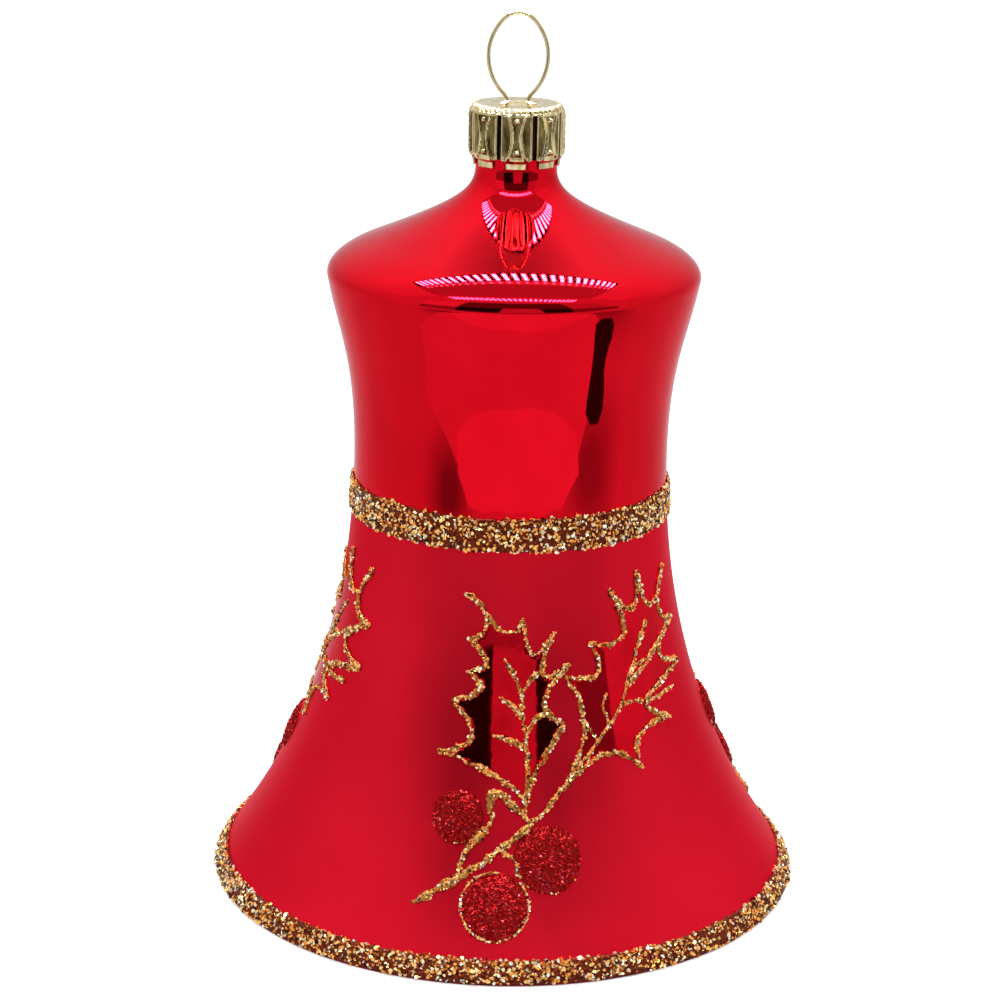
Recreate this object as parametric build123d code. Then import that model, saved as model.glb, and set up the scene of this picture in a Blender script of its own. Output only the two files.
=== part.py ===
from build123d import *
import os
from math import atan2, cos, degrees, hypot, radians, sin, sqrt

# Christmas bell ornament: a mouth-blown glass bell with glitter bands and three holly
# sprigs, a stamped crown cap, a spring wire hanger and a clapper that hangs from it.
# Millimetres. +Z is up, the origin is the middle of the mouth on the plane of the rim,
# and the front faces -Y.

# ---- driving dimensions: glass ----
RIM_R = 32.5
GLASS_WALL = 0.8
LIP_ROUND = 0.3
WAIST_R = 16.95
WAIST_Z = 48.4
SHOULDER_R = 19.85
SHOULDER_Z = 67.3
DOME_EDGE_R = 15.8
DOME_EDGE_Z = 71.0
NECK_R = 4.3
NECK_FOOT_Z = 79.2
NECK_TOP_Z = 85.1

# ---- driving dimensions: decoration on the glass ----
LACQUER_THICK = 0.15
GLITTER_THICK = 0.4
UPPER_BAND_LOW_Z = 41.8
UPPER_BAND_HIGH_Z = 45.3
RIM_BAND_LOW_Z = 0.5
RIM_BAND_HIGH_Z = 2.3
STROKE_WIDTH = 0.6
BERRY_HEIGHT = 0.85
SPRIG_AZIMUTH = {"front": 0.0, "left": -122.0, "right": 118.0}
SLANTING_LEAF_TURN = 42.0
# The sprig is drawn on a flat sheet that is wrapped round the bell: x is the distance
# round a cylinder of this radius, and y is the height above the rim.
WRAP_R = 21.0

# ---- driving dimensions: crown cap ----
CAP_TOP_Z = 85.6
CAP_FOOT_Z = 79.2
CAP_WALL = 0.3
CAP_R = 4.85
CAP_SHOULDER = 0.4
CAP_TAB_R = 4.66
CAP_TAB_Z = 80.0
PANELS = 8
PANEL_SLOT = 0.45
TAB_SLOT = 1.4
PANEL_SLOT_TOP_Z = 84.9
EMBOSS = 0.15
EMBOSS_MID_Z = 82.65
RIB_R = 4.5
RIB_HALF_ARC = 24.0
RIB_OFFSET = 0.45
RIB_WIDTH = 0.22
STUD_R = 0.26
STUD_RISE = 1.65
FLUTES = 40
FLUTE_R = 0.16
BRIDGE = (3.6, 1.8, 0.3)
BRIDGE_CORNER_R = 0.5
WIRE_SLOT = (0.62, 1.0)

# ---- driving dimensions: wires and clapper ----
HANGER_WIRE_R = 0.225
SLOT_X = 1.084
LEG_X = 3.2
LEG_BEND_R = 0.6
SPLAY_TOP_Z = 84.5
SPLAY_FOOT_Z = 82.0
LOOP_SIDE_R = 5.5
LOOP_HALF_WIDTH = 3.1
LOOP_MID_Z = 90.44
LOOP_TOP_R = 2.2
LOOP_FOOT_TURN = 46.0
PIVOT_Z = 74.5
BAR_SPACING = 0.6
BAR_REACH = 2.2
EYE_R = 0.87
CLAPPER_WIRE_R = 0.25
BEAD_R = 4.5
BEAD_Z = 15.0
BEAD_COLLAR_R = 0.9
BEAD_COLLAR_TOP = 5.3
BEAD_COLLAR_FILLET = 0.25
BEAD_BORE_GAP = 0.02
WIRE_END_DEPTH = 2.5

# Each sprig has three berries: degrees round from the sprig, height, radius.
BERRIES = {
    "front": {"upper": (-12, 14.9, 2.7), "side": (10, 11.1, 3.5), "lower": (-2, 6.9, 3.5)},
    "left": {"upper": (27, 15.0, 2.9), "side": (12, 10.2, 3.4), "lower": (-5, 7.0, 3.4)},
    "right": {"upper": (-24, 18.3, 2.8), "side": (-13, 12.2, 3.4), "lower": (1, 7.2, 3.4)},
}

# Outlines on the sprig's sheet, from the tip down one side to the base and up the other.
UPRIGHT_LEAF = [
    (-2.9, 35.6), (-0.2, 33.4), (1.8, 34.9), (2.9, 31.4), (5.5, 33.3), (4.0, 29.0),
    (7.3, 30.0), (4.2, 26.2), (6.2, 23.9), (3.9, 20.6), (4.6, 18.2), (1.8, 16.6),
    (-0.7, 17.6), (-1.4, 20.0), (-7.0, 20.9), (-3.8, 23.2), (-6.2, 26.1), (-3.0, 27.8),
    (-4.6, 29.2), (-2.2, 30.6), (-4.8, 32.6), (-2.9, 33.4),
]
SLANTING_LEAF = [
    (22.0, 34.2), (18.9, 34.2), (18.3, 38.2), (16.4, 34.2), (13.2, 37.0), (15.4, 31.6),
    (13.9, 29.0), (9.9, 31.8), (10.6, 28.2), (6.6, 28.6), (8.3, 25.0), (6.6, 21.5),
    (6.4, 18.6), (10.6, 20.2), (13.4, 20.0), (14.7, 18.0), (15.4, 21.6), (20.5, 22.0),
    (16.5, 24.2), (18.4, 26.2), (25.3, 26.7), (20.6, 28.8), (21.6, 30.8), (25.7, 31.5),
]
UPRIGHT_MIDRIB = [
    (1.8, 15.0), (2.0, 20.0), (1.8, 24.5), (1.4, 27.5), (-0.2, 30.6), (-2.9, 35.6), (-5.5, 37.2),
]
SLANTING_MIDRIB = [
    (3.0, 14.8), (6.4, 18.6), (9.4, 21.4), (13.0, 24.6),
    (15.6, 28.2), (17.6, 31.0), (22.0, 34.2), (24.9, 37.5),
]
STEM = [(3.0, 14.8), (0.6, 13.0), (-1.8, 10.9), (-4.8, 8.5), (-7.3, 6.6)]
TWIGS = [
    [(1.8, 15.0), (3.0, 14.8)],
    [(-1.6, 16.2), (-1.3, 14.4), (-3.2, 12.1), (-4.0, 9.1)],
    [(-0.4, 12.1), (1.0, 10.7), (1.4, 9.4)],
]


def bell_outline():
    """The glass's outer outline from rim to neck: four cubic curves of (radius, height)."""
    flare = [(RIM_R, 0), (30.2, 4.1), (WAIST_R, 19), (WAIST_R, WAIST_Z)]
    waist = [(WAIST_R, WAIST_Z), (WAIST_R, 58.4), (18.8, 61.5), (SHOULDER_R, SHOULDER_Z)]
    shoulder = [(SHOULDER_R, SHOULDER_Z), (20.08, 68.57), (18.7, 69.8), (DOME_EDGE_R, DOME_EDGE_Z)]
    dome = [(DOME_EDGE_R, DOME_EDGE_Z), (5.35, 75.32), (NECK_R, 76.6), (NECK_R, NECK_FOOT_Z)]
    return [flare, waist, shoulder, dome]


def cubic(corners, t):
    """A point of a cubic curve and the unit normal to its right, which points outward here."""
    near = 1 - t
    shares = (near**3, 3 * near**2 * t, 3 * near * t**2, t**3)
    point = [sum(share * corner[i] for share, corner in zip(shares, corners)) for i in (0, 1)]
    slope = []
    for i in (0, 1):
        first, second, third = [end[i] - start[i] for start, end in zip(corners, corners[1:])]
        slope.append(first * near**2 + 2 * second * near * t + third * t**2)
    size = hypot(*slope)
    return point, (slope[1] / size, -slope[0] / size)


def offset_curve(chain, distance, stations=8):
    """A smooth curve at a distance outward from a chain of cubic curves."""
    points = []
    for corners in chain:
        for k in range(stations):
            point, normal = cubic(corners, k / stations)
            points.append((point[0] + distance * normal[0], point[1] + distance * normal[1]))
    point, normal = cubic(chain[-1], 1)
    points.append((point[0] + distance * normal[0], point[1] + distance * normal[1]))
    return Spline(*points)


def turned(*edges):
    """The solid that a closed outline of (radius, height) sweeps out round the Z axis."""
    return revolve(Plane.XZ * make_face(edges), Axis.Z)


def closed_to_axis(curve_list, low, high):
    """Joins a chain of curves to the axis at heights low and high."""
    start = curve_list[0] @ 0
    end = curve_list[-1] @ 1
    corners = [(end.X, end.Y), (end.X, high), (0, high), (0, low), (start.X, low), (start.X, start.Y)]
    kept = [corners[0]]
    for corner in corners[1:]:
        if hypot(corner[0] - kept[-1][0], corner[1] - kept[-1][1]) > 1e-6:
            kept.append(corner)
    return [*curve_list, Polyline(*kept)]


def glass_body():
    outside = [Bezier(*corners) for corners in bell_outline()]
    solid = turned(*closed_to_axis(outside, 0, NECK_TOP_Z))
    inside = offset_curve(bell_outline(), -GLASS_WALL)
    hollow = turned(*closed_to_axis([inside], -1.0, NECK_TOP_Z + 1.0))
    bell = solid - hollow
    lip = bell.edges().filter_by(GeomType.CIRCLE).sort_by(Axis.Z)[:2]
    return fillet(lip, LIP_ROUND)


def flare_layer(thickness):
    """A coat of one thickness all over the flare, from below the rim to the waist."""
    flare = bell_outline()[0]
    core = turned(*closed_to_axis([Bezier(*flare)], 0, WAIST_Z))
    grown = turned(*closed_to_axis([offset_curve([flare], thickness)], -1.0, WAIST_Z))
    return grown - core


def band(low, high):
    """A glitter band round the flare between two heights."""
    slab = Pos(0, 0, (low + high) / 2) * Cylinder(RIM_R + 5, high - low)
    return flare_layer(GLITTER_THICK) & slab


def surface_point(azimuth, height):
    """The point of the flare at an azimuth in degrees and a height, and its unit normal."""
    low, high = 0.0, 1.0
    for _ in range(40):
        middle = (low + high) / 2
        point, normal = cubic(bell_outline()[0], middle)
        if point[1] < height:
            low = middle
        else:
            high = middle
    turn = radians(azimuth)
    place = Vector(point[0] * sin(turn), -point[0] * cos(turn), point[1])
    outward = Vector(normal[0] * sin(turn), -normal[0] * cos(turn), normal[1])
    return place, outward


def view_plane(azimuth):
    """A vertical plane outside the bell that faces its axis, x to the right and y up."""
    turn = radians(azimuth)
    outward = Vector(sin(turn), -cos(turn), 0)
    return Plane(origin=outward * (RIM_R + 6), x_dir=(cos(turn), sin(turn), 0), z_dir=outward)


def wrapped(point, view):
    """A point of the sprig's sheet, as seen square on from an azimuth relative to the sprig."""
    azimuth = degrees(point[0] / WRAP_R)
    place, _ = surface_point(azimuth - view, point[1])
    return place.X, place.Z


def stroke(start, end):
    """A round-ended stroke between two points of a view plane."""
    run = Vector(end[0] - start[0], end[1] - start[1])
    turn = degrees(atan2(run.Y, run.X))
    middle = Pos((start[0] + end[0]) / 2, (start[1] + end[1]) / 2)
    return middle * Rot(0, 0, turn) * SlotCenterToCenter(run.length, STROKE_WIDTH)


def strokes(route, view, closed=False):
    points = [wrapped(p, view) for p in route]
    if closed:
        points.append(points[0])
    drawing = Sketch()
    for start, end in zip(points, points[1:]):
        drawing += stroke(start, end)
    return drawing


def pressed_on(drawing, layer, azimuth):
    """The part of a coat that lies under a drawing on the view plane at an azimuth."""
    depth = RIM_R + 6 - WAIST_R / 2
    return layer & extrude(view_plane(azimuth) * drawing, -depth)


def one_solid(shape):
    """The largest solid of a shape."""
    return max(shape.solids(), key=lambda s: s.volume)


def leaf_lacquer(outline, view):
    panel = make_face(Polyline(*[wrapped(p, view) for p in outline], close=True))
    return one_solid(pressed_on(panel, flare_layer(LACQUER_THICK), view))


def sprig_linework(lacquers, berries):
    """The raised glitter lines of a sprig: leaf edges, midribs, stem and twigs."""
    coat = flare_layer(GLITTER_THICK)
    near = strokes(UPRIGHT_LEAF, 0, closed=True)
    for route in (UPRIGHT_MIDRIB, STEM, *TWIGS):
        near += strokes(route, 0)
    far = strokes(SLANTING_LEAF, SLANTING_LEAF_TURN, closed=True)
    far += strokes(SLANTING_MIDRIB, SLANTING_LEAF_TURN)
    lines = pressed_on(near, coat, 0) + pressed_on(far, coat, SLANTING_LEAF_TURN)
    for other in (*lacquers, *berries):
        lines -= other
    return one_solid(lines)


def berry(azimuth, height, radius):
    """A low dome on the flare."""
    place, outward = surface_point(azimuth, height)
    ball_r = (radius**2 + BERRY_HEIGHT**2) / (2 * BERRY_HEIGHT)
    ball = Pos(*(place - outward * (ball_r - BERRY_HEIGHT))) * Sphere(ball_r)
    core = turned(*closed_to_axis([Bezier(*bell_outline()[0])], 0, WAIST_Z))
    reach = Plane(origin=place, z_dir=outward) * Cylinder(radius * 1.3, 4 * BERRY_HEIGHT)
    return one_solid((ball & reach) - core)


def cap_shell():
    """The cap's cup before it is slotted, turned from its section."""
    outer = [
        (0, CAP_TOP_Z), (CAP_R - CAP_SHOULDER, CAP_TOP_Z), (CAP_R, CAP_TOP_Z - CAP_SHOULDER),
        (CAP_R, CAP_TAB_Z + 0.4), (CAP_TAB_R, CAP_TAB_Z), (CAP_TAB_R, CAP_FOOT_Z),
    ]
    under = CAP_TOP_Z - CAP_WALL
    inner = [(r - CAP_WALL, z) for r, z in outer[:2:-1]]
    inner += [(CAP_R - CAP_WALL, under - CAP_SHOULDER), (CAP_R - CAP_WALL - CAP_SHOULDER, under)]
    return turned(Polyline(*outer, *inner, (0, under), close=True))


def crown_cap():
    bridge = Pos(0, 0, CAP_TOP_Z + BRIDGE[2] / 2) * Box(*BRIDGE)
    bridge = fillet(bridge.edges().filter_by(Axis.Z), BRIDGE_CORNER_R)
    cap = cap_shell() + bridge
    cap += embossing()
    for side in (-1, 1):
        cap -= Pos(side * SLOT_X, 0, CAP_TOP_Z) * Box(*WIRE_SLOT, 4 * CAP_WALL)
    for k in range(PANELS):
        spoke = Rot(0, 0, (k + 0.5) * 360 / PANELS)
        for width, top_z in ((PANEL_SLOT, PANEL_SLOT_TOP_Z), (TAB_SLOT, CAP_TAB_Z)):
            tall = top_z - CAP_FOOT_Z + 1
            cap -= spoke * Pos(0, -CAP_R, top_z - tall / 2) * Box(width, 2, tall)
    flute = Pos(0, -CAP_R, CAP_TOP_Z) * Cylinder(FLUTE_R, 2 * CAP_SHOULDER)
    for k in range(FLUTES):
        cap -= Rot(0, 0, (k + 0.5) * 360 / FLUTES) * flute
    return one_solid(cap)


def embossing():
    """Two inward-bowed ribs and two studs on every panel of the cap."""
    rib = CenterArc((RIB_R + RIB_OFFSET, 0), RIB_R, 180 - RIB_HALF_ARC, 2 * RIB_HALF_ARC)
    drawing = SlotArc(rib, RIB_WIDTH)
    drawing += mirror(drawing, Plane.YZ)
    for side in (-1, 1):
        drawing += Pos(0, side * STUD_RISE) * Circle(STUD_R)
    tall = 2 * RIB_R
    ring = Cylinder(CAP_R + EMBOSS, tall) - Cylinder(CAP_R - CAP_WALL / 2, tall)
    ring = Pos(0, 0, EMBOSS_MID_Z) * ring
    front = Plane(origin=(0, -CAP_R - 1, EMBOSS_MID_Z), x_dir=(1, 0, 0), z_dir=(0, -1, 0))
    panel = ring & extrude(front * drawing, -2)
    return [Rot(0, 0, k * 360 / PANELS) * panel for k in range(PANELS)]


def hanger_wire():
    """One wire: an oval loop above the cap, two legs through it that spread against the
    neck, and their ends turned inward, one above the other, as the clapper's bar."""
    turn = radians(LOOP_FOOT_TURN)
    side_x = LOOP_HALF_WIDTH - LOOP_SIDE_R
    foot = Vector(side_x + LOOP_SIDE_R * cos(turn), LOOP_MID_Z - LOOP_SIDE_R * sin(turn))
    bend_r = (foot.X - SLOT_X) / (1 - cos(turn))
    slot_end = Vector(SLOT_X, foot.Y - bend_r * sin(turn))
    top_z = LOOP_MID_Z + sqrt((LOOP_SIDE_R - LOOP_TOP_R) ** 2 - side_x**2)
    top_turn = atan2(top_z - LOOP_MID_Z, -side_x)
    joint = Vector(side_x + LOOP_SIDE_R * cos(top_turn), LOOP_MID_Z + LOOP_SIDE_R * sin(top_turn))
    low_z = PIVOT_Z - BAR_SPACING / 2
    high_z = PIVOT_Z + BAR_SPACING / 2
    mid = radians(LOOP_FOOT_TURN) / 2
    bend_middle = (SLOT_X + bend_r * (1 - cos(mid)), slot_end.Y + bend_r * sin(mid))
    path = [
        leg(high_z, slot_end.Y),
        ThreePointArc((SLOT_X, slot_end.Y), bend_middle, (foot.X, foot.Y)),
        ThreePointArc((foot.X, foot.Y), (LOOP_HALF_WIDTH, LOOP_MID_Z), (joint.X, joint.Y)),
        ThreePointArc((joint.X, joint.Y), (0, top_z + LOOP_TOP_R), (-joint.X, joint.Y)),
        ThreePointArc((-joint.X, joint.Y), (-LOOP_HALF_WIDTH, LOOP_MID_Z), (-foot.X, foot.Y)),
        ThreePointArc((-foot.X, foot.Y), (-bend_middle[0], bend_middle[1]), (-SLOT_X, slot_end.Y)),
        mirror(leg(low_z, slot_end.Y), Plane.YZ),
    ]
    edges = []
    for piece in path:
        edges += piece.edges()
    wire = Plane.XZ * Wire(edges)
    section = Plane(origin=wire @ 0, z_dir=wire % 0) * Circle(HANGER_WIRE_R)
    return sweep(section, path=wire)


def leg(bar_z, slot_z):
    """The right leg, from the inner end of its bar up to the top of the cap's slot."""
    bar = [(-BAR_REACH, bar_z), (LEG_X, bar_z)]
    rise = [(LEG_X, SPLAY_FOOT_Z), (SLOT_X, SPLAY_TOP_Z), (SLOT_X, slot_z)]
    return FilletPolyline(*bar, *rise, radius=LEG_BEND_R)


def clapper_wire():
    """A straight wire with an eye round the hanger's bar and its foot in the bead."""
    eye = Pos(0, 0, PIVOT_Z) * Rot(0, 90, 0) * Torus(EYE_R, CLAPPER_WIRE_R)
    top = PIVOT_Z - EYE_R
    foot = BEAD_Z - WIRE_END_DEPTH
    rod = Pos(0, 0, (top + foot) / 2) * Cylinder(CLAPPER_WIRE_R, top - foot)
    return eye + rod


def clapper_bead():
    collar = Pos(0, 0, BEAD_COLLAR_TOP / 2) * Cylinder(BEAD_COLLAR_R, BEAD_COLLAR_TOP)
    ball = Sphere(BEAD_R) + collar
    seam = ball.edges().filter_by(GeomType.CIRCLE).sort_by(Axis.Z)
    ball = fillet(seam[-1], BEAD_COLLAR_FILLET)
    depth = BEAD_COLLAR_TOP + WIRE_END_DEPTH + 1
    bore_foot = -WIRE_END_DEPTH - BEAD_BORE_GAP
    bore = Pos(0, 0, bore_foot + depth / 2) * Cylinder(CLAPPER_WIRE_R + BEAD_BORE_GAP, depth)
    return Pos(0, 0, BEAD_Z) * (ball - bore)


def sprig(name):
    """Every piece of one sprig, by node name, made at the front and turned into place."""
    pieces = {
        "upright_leaf": leaf_lacquer(UPRIGHT_LEAF, 0),
        "slanting_leaf": leaf_lacquer(SLANTING_LEAF, SLANTING_LEAF_TURN),
    }
    lacquers = list(pieces.values())
    berries = {}
    for place, (turn, height, radius) in BERRIES[name].items():
        berries[place + "_berry"] = berry(turn, height, radius)
    pieces["linework"] = sprig_linework(lacquers, berries.values())
    pieces.update(berries)
    into_place = Rot(0, 0, SPRIG_AZIMUTH[name])
    return {f"{name}_sprig_{piece}": into_place * shape for piece, shape in pieces.items()}


def all_parts():
    parts = {
        "glass_bell": glass_body(),
        "upper_glitter_band": band(UPPER_BAND_LOW_Z, UPPER_BAND_HIGH_Z),
        "rim_glitter_band": band(RIM_BAND_LOW_Z, RIM_BAND_HIGH_Z),
        "crown_cap": crown_cap(),
        "hanger_wire": hanger_wire(),
        "clapper_wire": clapper_wire(),
        "clapper_bead": clapper_bead(),
    }
    for name in SPRIG_AZIMUTH:
        parts.update(sprig(name))
    return parts


os.makedirs("parts", exist_ok=True)
for node, shape in all_parts().items():
    export_step(shape, f"parts/{node}.step")
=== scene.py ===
from math import asin, atan2, cos, exp, hypot, pi, radians, sin, sqrt

import bmesh
import bpy
import numpy as np
from mathutils import Matrix, Vector
from mathutils.geometry import delaunay_2d_cdt

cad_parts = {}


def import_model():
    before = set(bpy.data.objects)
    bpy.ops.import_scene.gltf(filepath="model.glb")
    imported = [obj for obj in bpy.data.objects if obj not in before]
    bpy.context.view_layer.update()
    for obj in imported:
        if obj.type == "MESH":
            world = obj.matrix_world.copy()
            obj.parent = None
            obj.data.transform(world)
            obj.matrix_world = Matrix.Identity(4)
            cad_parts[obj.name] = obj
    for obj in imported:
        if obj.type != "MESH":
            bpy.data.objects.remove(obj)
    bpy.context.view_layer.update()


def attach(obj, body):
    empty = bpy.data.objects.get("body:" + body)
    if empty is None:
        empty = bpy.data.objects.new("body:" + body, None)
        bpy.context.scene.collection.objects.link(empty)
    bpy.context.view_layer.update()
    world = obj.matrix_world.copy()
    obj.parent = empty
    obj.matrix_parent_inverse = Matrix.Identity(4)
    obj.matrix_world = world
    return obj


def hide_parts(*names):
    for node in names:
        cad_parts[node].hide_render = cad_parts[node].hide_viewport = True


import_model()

MM = 0.001
rng = np.random.default_rng(24)

# ---- driving dimensions in millimetres, as in the CAD ----
RIM_R = 32.5
GLASS_WALL = 0.8
WAIST_R = 16.95
WAIST_Z = 48.4
NECK_R = 4.3
NECK_FOOT_Z = 79.2
COVERED_NECK_Z = 79.9
NECK_TOP_Z = 85.1
LIP_FLAT = (31.76, 31.99)
UPPER_BAND = (41.8, 45.3)
RIM_BAND = (0.5, 2.3)
RIM_BAND_RUN = 0.15
COAT = 0.22
BAND_FLAKES = 10
RIM_FLAKES = 11
WRAP_R = 21.0
SPRIG_AZIMUTH = {"front": 0.0, "left": -122.0, "right": 118.0}
BERRY_HEIGHT = 0.62
LEAF_LIFT = 0.10
SINK = 0.02
BERRIES = {
    "front": {"upper": (-12, 14.9, 2.7), "side": (10, 11.1, 3.5), "lower": (-2, 6.9, 3.5)},
    "left": {"upper": (27, 15.0, 2.9), "side": (12, 10.2, 3.4), "lower": (-5, 7.0, 3.4)},
    "right": {"upper": (-24, 18.3, 2.8), "side": (-13, 12.2, 3.4), "lower": (1, 7.2, 3.4)},
}

# Gold flakes at a berry's foot: how many per mm of its radius, and the arc they lie on, in degrees.
GOLD_RING = {"upper": (4, 200, 320), "side": (4, 200, 320), "lower": (110, 85, 405)}

# Leaf outlines on the sprig's sheet: spine tip, hollow, spine tip, hollow and so on round the leaf.
UPRIGHT_LEAF = [
    (-2.9, 35.6), (-0.2, 33.3), (1.8, 34.9), (2.9, 31.2), (5.5, 33.3), (4.0, 29.0), (7.3, 30.0),
    (4.1, 26.4), (6.2, 23.9), (3.6, 20.4), (1.8, 16.6), (-1.4, 19.2), (-7.0, 20.9), (-3.6, 22.8),
    (-6.2, 26.1), (-3.0, 27.4), (-4.6, 29.2), (-2.4, 30.4), (-4.8, 32.6), (-3.0, 33.3),
]
SLANTING_LEAF = [
    (22.0, 34.2), (19.4, 34.6), (18.3, 38.2), (16.8, 34.4), (13.2, 37.0), (15.0, 32.0), (9.9, 31.8),
    (10.8, 28.6), (6.6, 28.6), (8.5, 23.6), (5.4, 17.4), (10.4, 20.4), (14.7, 18.0), (15.2, 21.4),
    (20.5, 22.0), (17.3, 24.6), (25.3, 26.7), (20.8, 28.8), (25.7, 31.5), (22.9, 32.2),
]
RIBS = [
    [(1.8, 15.0), (2.1, 20.0), (1.8, 24.5), (1.3, 27.8), (-0.5, 30.8)],
    [(-2.7, 35.2), (-3.6, 36.3), (-5.5, 37.4)],
    [(2.0, 21.5), (0.4, 22.4), (-1.6, 22.9)],
    [(1.8, 24.5), (0.2, 26.2), (-1.0, 26.8)],
    [(1.9, 23.0), (3.2, 24.6), (4.0, 25.2)],
    [(1.5, 27.0), (2.6, 28.6), (3.6, 29.2)],
    [(3.0, 14.8), (6.4, 18.6), (9.4, 21.4), (13.0, 24.6), (15.6, 28.2), (17.4, 30.8), (19.2, 32.6)],
    [(22.0, 34.2), (23.2, 35.6), (24.9, 37.5)],
    [(14.6, 26.6), (17.4, 28.0), (20.6, 29.6), (24.2, 31.2)],
    [(18.0, 24.4), (20.6, 24.5), (22.8, 24.6)],
    [(9.8, 21.8), (8.4, 24.2), (8.0, 26.0)],
    [(11.4, 23.2), (11.0, 25.2), (11.6, 26.4)],
    [(13.2, 24.8), (15.2, 24.8), (16.6, 24.6)],
    [(15.6, 28.2), (17.6, 28.6), (19.2, 28.6)],
]
STEMS = [
    [(3.0, 14.8), (0.6, 13.0), (-1.8, 10.9), (-4.8, 8.5), (-7.3, 6.6)],
    [(1.8, 15.0), (2.2, 14.7), (3.0, 14.8)],
    [(1.8, 15.0), (0.4, 16.5), (-1.0, 17.3), (-1.6, 16.2), (-1.3, 14.4), (-3.2, 12.1), (-4.0, 9.1)],
    [(-0.4, 12.1), (1.0, 10.7), (1.4, 9.4)],
]
EDGE_WIDTH = 0.48
RIB_WIDTH = 0.46
STEM_WIDTH = 0.66
LINE_HEIGHT = 0.26
LINE_STEP = 0.22
LINE_FLAKES = 15
BERRY_GRAINS = 24

CAP_TOP_Z = 85.6
CAP_EDGE_Z = CAP_TOP_Z - 0.62
CAP_SHEET = 0.26
CAP_R = 4.85
CAP_SIDE_R = 4.5
CAP_TAB_R = 4.66
CAP_TAB_Z = 80.0
PANELS = 8
PANEL_SLOT = 0.52
PANEL_FOOT_Z = 80.5
TAB_SLOT = 1.4
PANEL_SLOT_TOP_Z = 84.9
HALF_PANEL = pi / PANELS
HALF_GAP = asin(PANEL_SLOT / 2 / CAP_R)
HALF_TAB = HALF_PANEL - TAB_SLOT / 2 / CAP_TAB_R
EMBOSS_MID_Z = 82.65
EMBOSS_HALF = 2.2
FLUTES = 48
SLOT_X = 1.084
HANGER_WIRE_R = 0.225
LEG_X = 3.2
LEG_BEND_R = 0.6
SPLAY_TOP_Z = 84.5
SPLAY_FOOT_Z = 82.0
LOOP_SIDE_R = 5.5
LOOP_HALF_WIDTH = 3.1
LOOP_MID_Z = 90.44
LOOP_TOP_R = 2.2
LOOP_FOOT_TURN = 46.0
PIVOT_Z = 74.5
BAR_SPACING = 0.6
BAR_REACH = 2.2
EYE_R = 0.87
CLAPPER_WIRE_R = 0.25
BEAD_R = 4.5
BEAD_Z = 15.0
BEAD_COLLAR_R = 0.9
BEAD_COLLAR_TOP = 5.3

# The light box, in millimetres.
ROOF_Z = 300.0
FRONT_Y = -300.0
LAMP_GAP = 9.6
LAMP_SLANT = 0.12


# ---- the bell's outline ----
def bell_outline():
    """The glass's outer outline from rim to neck: four cubic curves of (radius, height)."""
    flare = [(RIM_R, 0), (30.2, 4.1), (WAIST_R, 19), (WAIST_R, WAIST_Z)]
    waist = [(WAIST_R, WAIST_Z), (WAIST_R, 58.4), (18.8, 61.5), (19.85, 67.3)]
    shoulder = [(19.85, 67.3), (20.08, 68.57), (18.7, 69.8), (15.8, 71.0)]
    dome = [(15.8, 71.0), (5.35, 75.32), (NECK_R, 76.6), (NECK_R, NECK_FOOT_Z)]
    return [flare, waist, shoulder, dome]


def cubic(corners, t):
    """Radius, height and outward normal of a cubic curve at t."""
    a, b, c, d = [np.array(p, float) for p in corners]
    point = (1 - t) ** 3 * a + 3 * (1 - t) ** 2 * t * b + 3 * (1 - t) * t * t * c + t**3 * d
    slope = (b - a) * (1 - t) ** 2 + 2 * (c - b) * (1 - t) * t + (d - c) * t * t
    slope /= np.linalg.norm(slope)
    return (*point, slope[1], -slope[0])


FLARE = np.array([cubic(bell_outline()[0], t) for t in np.linspace(0, 1, 400)])


def on_flare(azimuth, height, lift=0.0):
    """Points and normals on the flare, in metres, from azimuths in radians and heights in mm."""
    r, nr, nz = (np.interp(height, FLARE[:, 1], FLARE[:, k]) for k in (0, 2, 3))
    r = r + lift * nr
    z = height + lift * nz
    around = np.stack([np.sin(azimuth), -np.cos(azimuth)], -1)
    points = np.concatenate([around * r[..., None], z[..., None]], -1) * MM
    normals = np.concatenate([around * nr[..., None], nz[..., None]], -1)
    return points, normals


def on_sheet(sprig, places, lift=0.0):
    """The same for (x, y) places on a sprig's sheet."""
    places = np.asarray(places, float)
    azimuth = radians(SPRIG_AZIMUTH[sprig]) + places[..., 0] / WRAP_R
    lift = np.broadcast_to(np.asarray(lift, float), azimuth.shape)
    return on_flare(azimuth, places[..., 1], lift)


# ---- mesh helpers ----
class Build:
    """Vertices and faces gathered for one piece, with a material index per face."""

    def __init__(self):
        self.verts = []
        self.faces = []
        self.slots = []
        self.smooth = []
        self.count = 0

    def add(self, points, faces, slots=0, smooth=True):
        """Adds a mesh; slots is one material index, or a list of one per face."""
        points = np.asarray(points, float).reshape(-1, 3)
        self.verts.append(points)
        start = self.count
        self.faces += [tuple(int(i) + start for i in f) for f in faces]
        self.slots += slots if isinstance(slots, list) else [slots] * len(faces)
        self.smooth += [smooth] * len(faces)
        self.count += len(points)

    def piece(self, name, materials, body, slot, node):
        """Makes the object, which rides a body and stands for a CAD node."""
        mesh = bpy.data.meshes.new(name)
        mesh.from_pydata(np.concatenate(self.verts).tolist(), [], self.faces)
        for m in materials:
            mesh.materials.append(m)
        mesh.polygons.foreach_set("material_index", self.slots)
        mesh.polygons.foreach_set("use_smooth", self.smooth)
        mesh.validate()
        obj = bpy.data.objects.new(name, mesh)
        bpy.context.collection.objects.link(obj)
        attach(obj, body)
        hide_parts(node)
        return obj


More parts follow.
